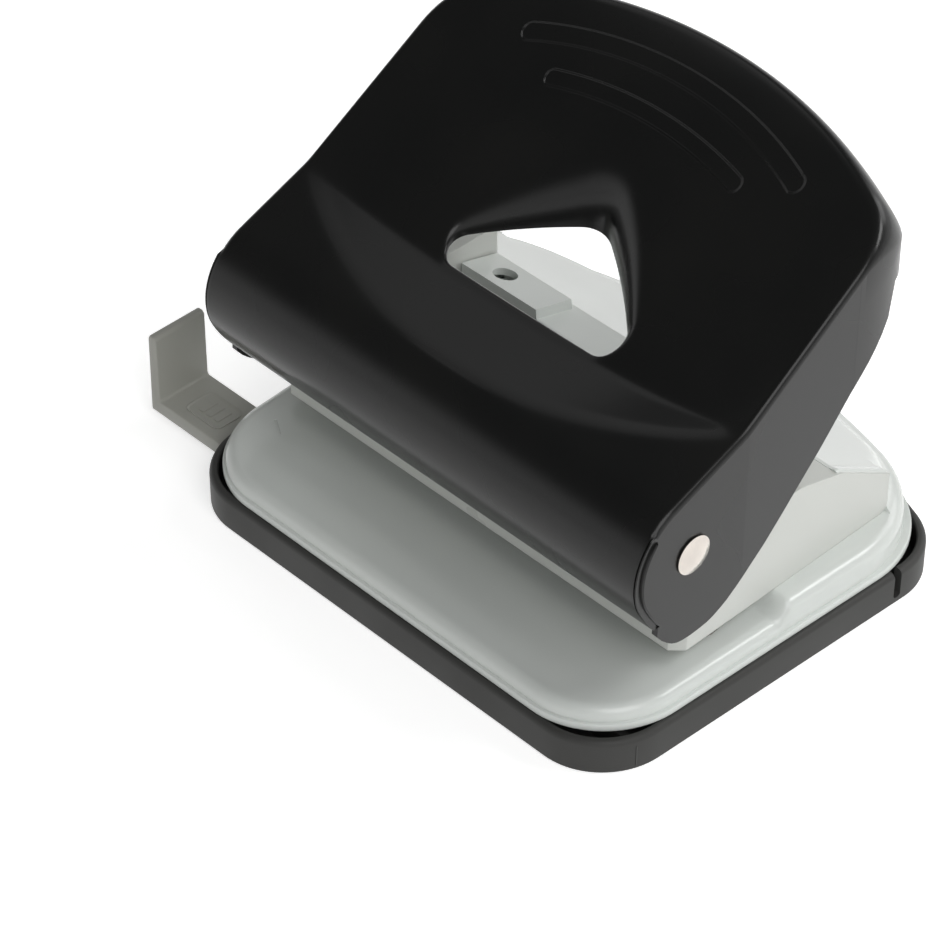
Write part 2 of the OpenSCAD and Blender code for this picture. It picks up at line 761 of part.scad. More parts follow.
module press_angle(s) {
    top = turn_mid_z + bar_flange;
    color([0.66, 0.66, 0.65]) difference() {
        scale([s, 1, 1]) union() {
            across_between(bar_x[0], bar_x[1], [
                [pin_y - bar_edge_r, edge_z], [pin_y + bar_edge_r, edge_z],
                [pin_y + bar_edge_r, turn_mid_z - 7.4], [pin_y + bar_flange, turn_mid_z - 0.8],
                [pin_y + bar_flange, top], [pin_y - bar_edge_r, top]
            ]);
            axle(bar_x[0], bar_x[1], pin_y, edge_z, bar_edge_r);
        }
        // everything above the lever's underside
        dished_sheet(40, 14);
    }
}

module press_left() { press_angle(-1); }
module press_right() { press_angle(1); }

// ---------- hinge ----------

module hinge_rivet() {
    head_x = lever_w / 2 + running;
    inner_x = frame_w / 2 - frame_wall;
    // body of the rivet, its domed head outside and the flared tail inside
    color([0.88, 0.86, 0.81]) translate([0, hinge_y, hinge_z]) rotate([0, 90, 0]) rotate_extrude($fn = 64)
        polygon(concat(
            [[0, inner_x - 1], [rivet_d / 2 + 1.2, inner_x - 1], [rivet_d / 2 + 1.2, inner_x],
             [rivet_d / 2, inner_x], [rivet_d / 2, head_x], [rivet_head_d / 2, head_x],
             [rivet_head_d / 2, head_x + 0.5]],
            [for (k = [1:6]) let (a = 15 * k) [rivet_head_d / 2 * cos(a), head_x + 0.5 + 0.6 * sin(a)]]
        ));
}

module hinge_rivet_right() { hinge_rivet(); }
module hinge_rivet_left() { mirror([1, 0, 0]) hinge_rivet(); }

module hinge_washer() {
    color([0.85, 0.85, 0.82]) difference() {
        axle(frame_w / 2, cheek_x - running, hinge_y, hinge_z, 5);
        axle(0, base_half, hinge_y, hinge_z, rivet_d / 2 + running);
    }
}

module hinge_washer_right() { hinge_washer(); }
module hinge_washer_left() { mirror([1, 0, 0]) hinge_washer(); }

// ---------- paper guide ----------

module paper_guide() {
    color([0.66, 0.66, 0.62]) difference() {
        union() {
            box(-guide_at - guide_end_t, -guide_at + guide_l, guide_front_y, guide_front_y + guide_w,
                guide_z, guide_z + guide_t);
            // end wall, thinner towards its top, with a cut corner
            translate([0, guide_front_y, 0]) rotate([90, 0, 0]) mirror([0, 0, 1]) linear_extrude(guide_w)
                polygon([
                    [-guide_at - guide_end_t, guide_z], [-guide_at, guide_z],
                    [-guide_at, guide_z + guide_stop_h], [-guide_at - 1.7, guide_z + guide_stop_h],
                    [-guide_at - 2, guide_z + guide_stop_h - 1.2]
                ]);
        }
        // notches that hold the guide at each paper size
        for (i = [0:7]) translate([-guide_at + 24 + 9 * i, guide_front_y + guide_w, guide_z - 1])
            cylinder(h = guide_t + 2, r = 1, $fn = 24);
    }
}

base_shell();
chip_tray();
anti_slip_pads();
punch_frame();
frame_screws();
die_plate();
die_screws();
die_left();
die_right();
guide_bush_left();
guide_bush_right();
pin_left();
pin_right();
spring_left();
spring_right();
lever();
press_left();
press_right();
hinge_rivet_left();
hinge_rivet_right();
hinge_washer_left();
hinge_washer_right();
paper_guide();
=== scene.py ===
import bpy
import bmesh
import math
from mathutils import Matrix, Vector


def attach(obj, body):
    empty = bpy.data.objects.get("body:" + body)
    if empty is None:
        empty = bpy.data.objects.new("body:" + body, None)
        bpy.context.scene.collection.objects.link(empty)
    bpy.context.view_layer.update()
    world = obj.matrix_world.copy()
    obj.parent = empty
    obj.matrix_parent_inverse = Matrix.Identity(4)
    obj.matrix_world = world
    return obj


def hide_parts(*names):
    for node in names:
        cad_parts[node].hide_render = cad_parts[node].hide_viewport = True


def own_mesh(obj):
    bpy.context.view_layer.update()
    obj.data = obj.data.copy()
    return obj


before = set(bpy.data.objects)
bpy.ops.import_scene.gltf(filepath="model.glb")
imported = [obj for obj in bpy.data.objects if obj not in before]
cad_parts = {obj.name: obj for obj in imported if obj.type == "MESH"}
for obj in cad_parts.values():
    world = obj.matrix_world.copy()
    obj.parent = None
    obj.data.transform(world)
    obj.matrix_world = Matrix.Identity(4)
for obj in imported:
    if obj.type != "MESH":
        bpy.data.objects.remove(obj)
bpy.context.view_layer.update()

SHOP = bpy.context.scene.collection

# Sizes in millimetres, in the frame of the CAD
BASE_HALF, BASE_FRONT, BASE_REAR, BASE_BOW, BASE_TAPER = 52.6, -45.0, 45.0, 12.0, 0.0009
TRAY_CORNER, SHELL_CORNER, STRIP_INSET = 13.0, 17.0, 0.8
SHOULDER_CORNER, FLANGE_CORNER, FLANGE, FLANGE_Z = 25.0, 21.0, 0.55, 8.7
TRAY_TOP, TABLE_Z, SHOULDER_Z = 7.0, 11.3, 14.2
HINGE_Y, HINGE_Z = -25.0, 39.0
PIN_X, PIN_Y = 40.0, -13.5
LEVER_HALF, ROLL_R, SHEET = 49.8, 12.75, 1.2
FRONT_SLOPE, HANDLE_SLOPE = math.radians(20.5), math.radians(32)
LEVER_REAR_Y, LEVER_REAR_R, LEVER_CORNER, TOE_IN = 32.4, 105.0, 10.4, 0.0006
CREST_Y, CREST_Z, HOOD_FRONT_Y = 14.0, 30.0, 4.0
HOOD_FALL = math.tan(math.radians(31.6))
WALL_REAR_Y = 26.7

# Light that the floor adds for rays from the camera and for mirrored rays
FLOOR_GLOW = 0.62


# ---------------------------------------------------------------- making and finishing pieces

def piece(name, bm, body, material, stands_for=(), crease=None):
    """Turn a mesh drawn in millimetres into a finished piece that rides on its body."""
    bmesh.ops.scale(bm, vec=(0.001, 0.001, 0.001), verts=bm.verts)
    mesh = bpy.data.meshes.new(name)
    for face in bm.faces:
        face.smooth = True
    if crease is not None:
        for edge in bm.edges:
            if len(edge.link_faces) == 2 and edge.calc_face_angle(0.0) > math.radians(crease):
                edge.smooth = False
    bm.to_mesh(mesh)
    bm.free()
    made = bpy.data.objects.new(name, mesh)
    SHOP.objects.link(made)
    mesh.materials.append(material)
    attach(made, body)
    if stands_for:
        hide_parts(*stands_for)
    return made


def face_outwards(bm):
    bmesh.ops.recalc_face_normals(bm, faces=bm.faces)


def thicken(made, thickness):
    wall = made.modifiers.new("sheet", "SOLIDIFY")
    wall.thickness = thickness * 0.001
    wall.offset = -1.0
    wall.use_even_offset = False
    return wall


def cut_with(made, cutter):
    """Cut a hole now, so that no helper object is left over."""
    hole = made.modifiers.new("hole", "BOOLEAN")
    hole.operation = "DIFFERENCE"
    hole.solver = "EXACT"
    hole.object = cutter
    keep_shape(made)
    bpy.data.objects.remove(cutter, do_unlink=True)


def keep_shape(made):
    """Apply every modifier that the piece has."""
    bpy.context.view_layer.update()
    evaluated = made.evaluated_get(bpy.context.evaluated_depsgraph_get())
    mesh = bpy.data.meshes.new_from_object(evaluated)
    made.modifiers.clear()
    old = made.data
    made.data = mesh
    bpy.data.meshes.remove(old)


def tool(bm):
    """A bare object to cut with."""
    bmesh.ops.scale(bm, vec=(0.001, 0.001, 0.001), verts=bm.verts)
    mesh = bpy.data.meshes.new("cutter")
    bm.to_mesh(mesh)
    bm.free()
    made = bpy.data.objects.new("cutter", mesh)
    SHOP.objects.link(made)
    return made


def drawn_block(x0, x1, y0, y1, z0, z1, bm=None):
    bm = bm or bmesh.new()
    made = bmesh.ops.create_cube(bm, size=1.0)["verts"]
    bmesh.ops.scale(bm, vec=(x1 - x0, y1 - y0, z1 - z0), verts=made)
    bmesh.ops.translate(bm, vec=((x0 + x1) / 2, (y0 + y1) / 2, (z0 + z1) / 2), verts=made)
    return bm


def drawn_rod(x, y, z0, z1, radius, segments=48, bm=None):
    bm = bm or bmesh.new()
    made = bmesh.ops.create_cone(bm, cap_ends=True, segments=segments, radius1=radius,
                                 radius2=radius, depth=z1 - z0)["verts"]
    bmesh.ops.translate(bm, vec=(x, y, (z0 + z1) / 2), verts=made)
    return bm


def turned(profile, centre, axis, segments=64):
    """Spin a profile of (radius, height) points about an axis along X or Z."""
    bm = bmesh.new()
    verts = [bm.verts.new((r, 0, h)) for r, h in profile]
    edges = [bm.edges.new(pair) for pair in zip(verts, verts[1:])]
    bmesh.ops.spin(bm, geom=verts + edges, cent=(0, 0, 0), axis=(0, 0, 1), angle=math.tau,
                   steps=segments, use_merge=True, use_duplicate=False, dvec=(0, 0, 0))
    bmesh.ops.remove_doubles(bm, verts=bm.verts, dist=0.0005)
    face_outwards(bm)
    if axis == "x":
        bmesh.ops.rotate(bm, verts=bm.verts, cent=(0, 0, 0), matrix=Matrix.Rotation(math.pi / 2, 3, "Y"))
    bmesh.ops.translate(bm, vec=centre, verts=bm.verts)
    return bm


def arc(cx, cy, radius, start, end, steps):
    return [(cx + radius * math.cos(math.radians(start + (end - start) * i / steps)),
             cy + radius * math.sin(math.radians(start + (end - start) * i / steps)))
            for i in range(steps + 1)]


def base_outline(corner, inset, fine=1, rear_corner=None):
    """Plan of the base: two round front corners and a bowed back with round corners."""
    big = (BASE_HALF ** 2 + BASE_BOW ** 2) / (2 * BASE_BOW) - inset
    half, front, rear, r = BASE_HALF - inset, BASE_FRONT + inset, BASE_REAR - inset, corner - inset
    q = (rear_corner or corner) - inset
    centre = rear - big
    corner_y = centre + math.sqrt((big - q) ** 2 - (half - q) ** 2)
    turn = math.degrees(math.atan2(corner_y - centre, half - q))
    right = arc(half - r, front + r, r, 270, 360, 12 * fine) + arc(half - q, corner_y, q, 0, turn, 12 * fine)
    back = arc(0, centre, big, turn, 180 - turn, 28 * fine)[1:-1]
    left = (arc(-half + q, corner_y, q, 180 - turn, 180, 12 * fine)
            + arc(-half + r, front + r, r, 180, 270, 12 * fine))
    return [(x * (1 + BASE_TAPER * y), y) for x, y in right + back + left]


def next_ring(bm, ring, edges, places):
    """Draw a loop or a path of edges out to new places; gives the new vertices and edges."""
    made = bmesh.ops.extrude_edge_only(bm, edges=edges)["geom"]
    fresh = {g for g in made if isinstance(g, bmesh.types.BMVert)}
    order = [next(e.other_vert(old) for e in old.link_edges if e.other_vert(old) in fresh) for old in ring]
    for new, place in zip(order, places):
        new.co = place
    return order, [g for g in made if isinstance(g, bmesh.types.BMEdge) and all(v in fresh for v in g.verts)]


def closed_ring(bm, places):
    ring = [bm.verts.new(place) for place in places]
    return ring, [bm.edges.new(pair) for pair in zip(ring, ring[1:] + ring[:1])]


def smooth_step(value, low, high):
    t = min(1.0, max(0.0, (value - low) / (high - low)))
    return t * t * (3 - 2 * t)


def soft_min(a, b, width):
    h = max(width - abs(a - b), 0.0) / width
    return min(a, b) - h * h * width / 4


def soft_max(a, b, width):
    return -soft_min(-a, -b, width)


# ---------------------------------------------------------------- finishes

class Finish:
    """A material that is put together node by node."""

    def __init__(self, name):
        self.material = bpy.data.materials.new(name)
        self.material.use_nodes = True
        self.tree = self.material.node_tree
        self.shader = self.tree.nodes["Principled BSDF"]
        self.place = self.node("ShaderNodeTexCoord").outputs["Object"]
        self.height = None

    def node(self, kind, **settings):
        made = self.tree.nodes.new(kind)
        for name, value in settings.items():
            setattr(made, name, value)
        return made

    def join(self, source, target):
        self.tree.links.new(source, target)

    def noise(self, size_mm, detail=3.0, rough=0.55, stretch=(1, 1, 1), kind="FBM"):
        mapping = self.node("ShaderNodeMapping")
        mapping.inputs["Scale"].default_value = stretch
        self.join(self.place, mapping.inputs["Vector"])
        made = self.node("ShaderNodeTexNoise", noise_dimensions="3D", noise_type=kind)
        made.inputs["Scale"].default_value = 1000.0 / size_mm
        made.inputs["Detail"].default_value = detail
        made.inputs["Roughness"].default_value = rough
        self.join(mapping.outputs["Vector"], made.inputs["Vector"])
        return made.outputs["Fac"]

    def ramp(self, source, low, high, out_low, out_high):
        made = self.node("ShaderNodeMapRange", clamp=True)
        for name, value in (("From Min", low), ("From Max", high), ("To Min", out_low), ("To Max", out_high)):
            made.inputs[name].default_value = value
        self.join(source, made.inputs["Value"])
        return made.outputs["Result"]

    def sum(self, kind, a, b):
        made = self.node("ShaderNodeMath", operation=kind)
        for i, value in enumerate((a, b)):
            if isinstance(value, (int, float)):
                made.inputs[i].default_value = value
            else:
                self.join(value, made.inputs[i])
        return made.outputs[0]

    def colour(self, first, second, share):
        made = self.node("ShaderNodeMix", data_type="RGBA")
        made.inputs["A"].default_value = (*first, 1)
        made.inputs["B"].default_value = (*second, 1)
        self.join(share, made.inputs["Factor"])
        self.join(made.outputs["Result"], self.shader.inputs["Base Color"])
        return self

    def roughness(self, share, low, high):
        self.join(self.ramp(share, 0.3, 0.7, low, high), self.shader.inputs["Roughness"])
        return self

    def bump(self, source, height_mm, strength=1.0):
        made = self.node("ShaderNodeBump")
        made.inputs["Strength"].default_value = strength
        made.inputs["Distance"].default_value = height_mm * 0.001
        self.join(source, made.inputs["Height"])
        if self.height is not None:
            self.join(self.height, made.inputs["Normal"])
        self.height = made.outputs["Normal"]
        self.join(self.height, self.shader.inputs["Normal"])
        return self

    def soft_corners(self, radius_mm):
        made = self.node("ShaderNodeBevel", samples=6)
        made.inputs["Radius"].default_value = radius_mm * 0.001
        self.height = made.outputs["Normal"]
        self.join(self.height, self.shader.inputs["Normal"])
        return self

    def set(self, **values):
        for name, value in values.items():
            self.shader.inputs[name.replace("_", " ")].default_value = value
        return self


def moulded_plastic(name, colour, deeper, rough, grain_mm, grain_height, corner=0.0, gloss=0.5):
    finish = Finish(name)
    if corner:
        finish.soft_corners(corner)
    clouds = finish.noise(38.0, 2.0)
    grain = finish.noise(grain_mm, 2.0, 0.6)
    flow = finish.noise(16.0, 3.0, 0.5, (1.0, 0.35, 1.0))
    finish.colour(colour, deeper, finish.ramp(clouds, 0.35, 0.7, 0.0, 1.0))
    finish.roughness(flow, rough - 0.05, rough + 0.07)
    finish.bump(grain, grain_height, 0.5)
    finish.bump(flow, 0.02, 0.25)
    finish.set(Specular_IOR_Level=gloss)
    return finish


def metal(name, colour, deeper, rough, brush=(1, 1, 1), brush_mm=0.5, corner=0.15, scratches=0.004):
    finish = Finish(name)
    if corner:
        finish.soft_corners(corner)
    grain = finish.noise(brush_mm, 3.0, 0.6, brush)
    stain = finish.noise(7.0, 3.0)
    finish.colour(colour, deeper, finish.ramp(stain, 0.4, 0.75, 0.0, 1.0))
    finish.roughness(grain, rough - 0.07, rough + 0.1)
    finish.bump(grain, scratches, 0.6)
    finish.set(Metallic=1.0)
    return finish


def lever_paint():
    finish = Finish("black semi-gloss lever paint")
    peel = finish.noise(1.6, 2.0, 0.45)
    clouds = finish.noise(30.0, 2.0)
    dust = finish.noise(0.5, 1.0, 0.5)
    finish.colour((0.0068, 0.0071, 0.0070), (0.0088, 0.0089, 0.0085), finish.ramp(clouds, 0.35, 0.65, 0.0, 1.0))
    finish.roughness(clouds, 0.24, 0.3)
    # two pressed grooves across the handle, each a slot on an arc with round ends
    where = finish.node("ShaderNodeSeparateXYZ")
    finish.join(finish.place, where.inputs[0])
    side = finish.sum("ABSOLUTE", where.outputs["X"], 0.0)
    pressed = None
    for end_x, end_y, middle_y, half_width in GROOVES:
        radius = (end_x ** 2 + (middle_y - end_y) ** 2) / (2 * (middle_y - end_y))
        along = finish.sum("SUBTRACT", where.outputs["Y"], (middle_y - radius) * 0.001)
        reach = finish.sum("SQRT", finish.sum("ADD", finish.sum("MULTIPLY", side, side),
                                              finish.sum("MULTIPLY", along, along)), 0.0)
        off_line = finish.sum("ABSOLUTE", finish.sum("SUBTRACT", reach, radius * 0.001), 0.0)
        dx = finish.sum("SUBTRACT", side, end_x * 0.001)
        dy = finish.sum("SUBTRACT", where.outputs["Y"], end_y * 0.001)
        off_end = finish.sum("SQRT", finish.sum("ADD", finish.sum("MULTIPLY", dx, dx),
                                                finish.sum("MULTIPLY", dy, dy)), 0.0)
        past_end = finish.sum("GREATER_THAN", dx, 0.0)
        pick = finish.node("ShaderNodeMix", data_type="FLOAT")
        finish.join(past_end, pick.inputs["Factor"])
        finish.join(off_line, pick.inputs["A"])
        finish.join(off_end, pick.inputs["B"])
        edge = finish.node("ShaderNodeMapRange", interpolation_type="SMOOTHERSTEP", clamp=True)
        edge.inputs["From Min"].default_value = (half_width - 0.3) * 0.001
        edge.inputs["From Max"].default_value = (half_width + 0.25) * 0.001
        finish.join(pick.outputs["Result"], edge.inputs["Value"])
        slot = edge.outputs["Result"]
        pressed = slot if pressed is None else finish.sum("MINIMUM", pressed, slot)
    top_only = finish.sum("GREATER_THAN", where.outputs["Z"], 0.0705)
    pressed = finish.sum("MAXIMUM", pressed, finish.sum("SUBTRACT", 1.0, top_only))
    finish.bump(pressed, 0.6, 1.0)
    finish.bump(peel, 0.006, 0.35)
    finish.bump(dust, 0.002, 0.3)
    finish.set(Specular_IOR_Level=0.26, Coat_Weight=0.11, Coat_Roughness=0.14)
    return finish.material


# Ends and middle of the grooves' centre lines, and half their width
GROOVES = ((20.3, 14.1, 16.4, 1.25), (29.3, 18.2, 23.6, 1.55))

paint = lever_paint()
shell_plastic = moulded_plastic("light grey gloss plastic of the shell", (0.66, 0.69, 0.66), (0.63, 0.66, 0.635),
                                0.17, 0.9, 0.003)
frame_plastic = moulded_plastic("light grey plastic of the frame", (0.61, 0.625, 0.59), (0.585, 0.60, 0.57),
                                0.3, 0.9, 0.004, corner=0.35)
tray_plastic = moulded_plastic("dark soft plastic of the tray", (0.046, 0.046, 0.044), (0.040, 0.040, 0.038),
                               0.5, 0.5, 0.012, gloss=0.3)
guide_plastic = moulded_plastic("grey plastic of the guide", (0.38, 0.38, 0.345), (0.355, 0.355, 0.32),
                                0.42, 0.6, 0.008, gloss=0.45)
pad_rubber = moulded_plastic("black rubber of the pads", (0.02, 0.02, 0.02), (0.03, 0.03, 0.03), 0.75, 0.4, 0.02)
nylon = moulded_plastic("white nylon of the washers", (0.72, 0.71, 0.66), (0.68, 0.67, 0.62), 0.4, 0.5, 0.006,
                        corner=0.1)
nickel = metal("nickel of the rivets", (0.66, 0.61, 0.56), (0.56, 0.52, 0.48), 0.17, (1, 1, 1), 0.8, 0.0)
zinc = metal("zinc plate of the screws", (0.62, 0.62, 0.60), (0.52, 0.52, 0.50), 0.34, (1, 1, 1), 0.6)
plain_steel = metal("plain steel sheet", (0.50, 0.50, 0.49), (0.40, 0.40, 0.39), 0.38, (0.15, 1, 1), 0.4)
ground_steel = metal("ground tool steel", (0.56, 0.56, 0.55), (0.46, 0.46, 0.45), 0.26, (1, 1, 0.1), 0.35, 0.08)
spring_wire = metal("drawn spring wire", (0.50, 0.50, 0.49), (0.38, 0.38, 0.37), 0.3, (1, 1, 0.3), 0.3, 0.0)
brass = metal("turned brass of the bushes", (0.62, 0.44, 0.18), (0.50, 0.34, 0.13), 0.3, (1, 1, 4), 0.3, 0.1)


# ---------------------------------------------------------------- lever

class Sheet:
    """Side view of the lever's outer face, followed from the roll's lower edge to the back."""

    def __init__(self):
        start, lead, lead_bend = math.radians(205), 6.6, -1 / 30.0
        kink = 11.0 - ROLL_R * -math.sin(FRONT_SLOPE)
        half_turn = 14.0 * math.tan((HANDLE_SLOPE - FRONT_SLOPE) / 2)
        rise = (LEVER_REAR_Y - 14.2 - (HINGE_Y + 11.0)) / math.cos(HANDLE_SLOPE)
        self.runs = [
            (lead, lead_bend),
            (ROLL_R * (start - math.pi / 2 - FRONT_SLOPE), -1 / ROLL_R),
            (kink / math.cos(FRONT_SLOPE) - half_turn, 0.0),
            (14.0 * (HANDLE_SLOPE - FRONT_SLOPE), 1 / 14.0),
            (rise - half_turn, 0.0),
            (60.0 * HANDLE_SLOPE, -1 / 60.0),
            (9.0, 0.0),
        ]
        self.knots = []
        self.roll_end = lead + self.runs[1][0]
        self.seam_end = lead + ROLL_R * (start - math.radians(133))
        s = 0.0
        y, z, heading = self.step(HINGE_Y + ROLL_R * math.cos(start), HINGE_Z + ROLL_R * math.sin(start),
                                  start - math.pi / 2, lead_bend, -lead)
        for length, bend in self.runs:
            self.knots.append((s, y, z, heading, bend))
            y, z, heading = self.step(y, z, heading, bend, length)
            s += length
        self.length = s
        self.table = [(self.at(i * 0.05)[0], i * 0.05) for i in range(int(s / 0.05) + 1)
                      if i * 0.05 >= self.roll_end]

    @staticmethod
    def step(y, z, heading, bend, length):
        if bend == 0.0:
            return y + length * math.cos(heading), z + length * math.sin(heading), heading
        turned_to = heading + bend * length
        return (y + (math.sin(turned_to) - math.sin(heading)) / bend,
                z - (math.cos(turned_to) - math.cos(heading)) / bend, turned_to)

    def at(self, s):
        """Place and outward normal at the distance s along the side view."""
        knot = max((k for k in self.knots if k[0] <= max(s, 0.0)), key=lambda k: k[0])
        y, z, heading = self.step(*knot[1:], s - knot[0])
        return y, z, -math.sin(heading), math.cos(heading)

    def along(self, y):
        """Distance along the side view at which the face behind the roll reaches y."""
        low, high = 0, len(self.table) - 1
        while high - low > 1:
            middle = (low + high) // 2
            if self.table[middle][0] < y:
                low = middle
            else:
                high = middle
        (y0, s0), (y1, s1) = self.table[low], self.table[high]
        return s0 + (s1 - s0) * (y - y0) / (y1 - y0)


SIDE = Sheet()
BEND_Y = -13.0
EDGE_R, REAR_EDGE_R, CORNER_EDGE_R = 1.2, 2.2, 1.5


def scoop(x, y):
    """How far the face is pressed down between the roll and the handle's grooves."""
    def plain(v):
        start = -30.0 + 16.0 * min(1.0, abs(x) / 49.8) ** 2
        deepest = 4.9 * (1 - min(1.0, abs(x) / 49.0) ** 3.2)
        if v <= start:
            return 0.0
        if v <= BEND_Y:
            return deepest * (v - start) / max(BEND_Y - start, 0.01)
        return deepest * max(0.0, 1 - (v - BEND_Y) / 28.0)
    steps = [plain(y + 0.55 * k) for k in range(-4, 5)]
    return sum(steps) / len(steps)


def window_outline(grow=0.0, steps=9):
    """Rounded triangle of the window in plan, with sides that bulge a little."""
    corner_r, tip_r, bulge_most = 3.3 + grow, 6.6 + grow, 0.45
    corner, tip = (15.9, BEND_Y + 3.4), (0.0, -1.5)
    reach = math.hypot(corner[0], tip[1] - corner[1])
    side_turn = (math.degrees(math.atan2(tip[1] - corner[1], -corner[0]))
                 - math.degrees(math.acos((corner_r - tip_r) / reach)))
    spread = math.degrees(math.atan(4 * bulge_most / reach))
    points = arc(corner[0], corner[1], corner_r, 270, 360 + side_turn - spread, steps + 3)
    first, last = points[-1], arc(tip[0], tip[1], tip_r, side_turn + spread, 90, steps)[0]
    for i in range(1, 22):
        t = i / 22
        bulge = bulge_most * 4 * t * (1 - t)
        points.append((first[0] + (last[0] - first[0]) * t + bulge * math.cos(math.radians(side_turn)),
                       first[1] + (last[1] - first[1]) * t + bulge * math.sin(math.radians(side_turn))))
    points += arc(tip[0], tip[1], tip_r, side_turn + spread, 90, steps)
    right = points[:]
    left = [(-x, y) for x, y in reversed(right[:-1])]
    whole = right + left
    bottom = corner[1] - corner_r
    spare = [(-corner[0] + 2 * corner[0] * i / 40, bottom) for i in range(1, 40)]
    return whole + spare


def inside(point, loop):
    x, y = point
    odd = False
    for (x0, y0), (x1, y1) in zip(loop, loop[1:] + loop[:1]):
        if (y0 > y) != (y1 > y) and x < x0 + (y - y0) * (x1 - x0) / (y1 - y0):
            odd = not odd
    return odd


def face_height(x, y):
    return SIDE.at(SIDE.along(y))[1] - scoop(x, y)


def toed_in(x, y):
    return x * (1 - TOE_IN * max(0.0, y - BEND_Y))


def on_cheek(place):
    across = abs(place.x) / (toed_in(1, place.y))
    return min(abs(across - LEVER_HALF), abs(across - LEVER_HALF + SHEET)) < 0.015


def low_edge(y):
    """Height of the cheek's lower edge towards the back."""
    marks = ((8.9, 46.5), (10.8, 48.7), (16.6, 54.2), (20.0, 58.2), (21.5, 61.0), (22.0, 65.6))
    for (y0, z0), (y1, z1) in zip(marks, marks[1:]):
        if y <= y1:
            return z0 + (z1 - z0) * (y - y0) / (y1 - y0)
    return marks[-1][1]


def window_rings():
    """Loops of the drawn edge round the window, from the sheet's face down to the free edge."""
    edge = window_outline()
    count = len(edge)
    rings = [[] for _ in range(9)]
    for i, (x, y) in enumerate(edge):
        (x0, y0), (x1, y1) = edge[i - 1], edge[(i + 1) % count]
        size = math.hypot(x1 - x0, y1 - y0)
        nx, ny = (y1 - y0) / size, -(x1 - x0) / size
        spread = 1.25 + 2.75 * smooth_step(y, -12.5, 4.0)
        out_x, out_y = x + nx * spread, y + ny * spread
        start = face_height(out_x, out_y)
        lean_x = (face_height(out_x + 0.2, out_y) - face_height(out_x - 0.2, out_y)) / 0.4
        lean_y = (face_height(out_x, out_y + 0.2) - face_height(out_x, out_y - 0.2)) / 0.4
        level = start - spread * (nx * lean_x + ny * lean_y)
        lowest = min(level - 1.3, 52.4 + 0.315 * (y + 12.9))
        shoulder = min(0.85 * (level - lowest), 1.5 * spread)
        for k in range(9):
            if k <= 6:
                a = math.radians(15 * k)
                away = spread * (1 - math.sin(a))
                z = level + away * (nx * lean_x + ny * lean_y) - shoulder * (1 - math.cos(a))
            else:
                away = 0.0
                z = level - shoulder + (lowest - level + shoulder) * (k - 6) / 2
            rings[k].append((x + nx * away, y + ny * away, z))
    return rings


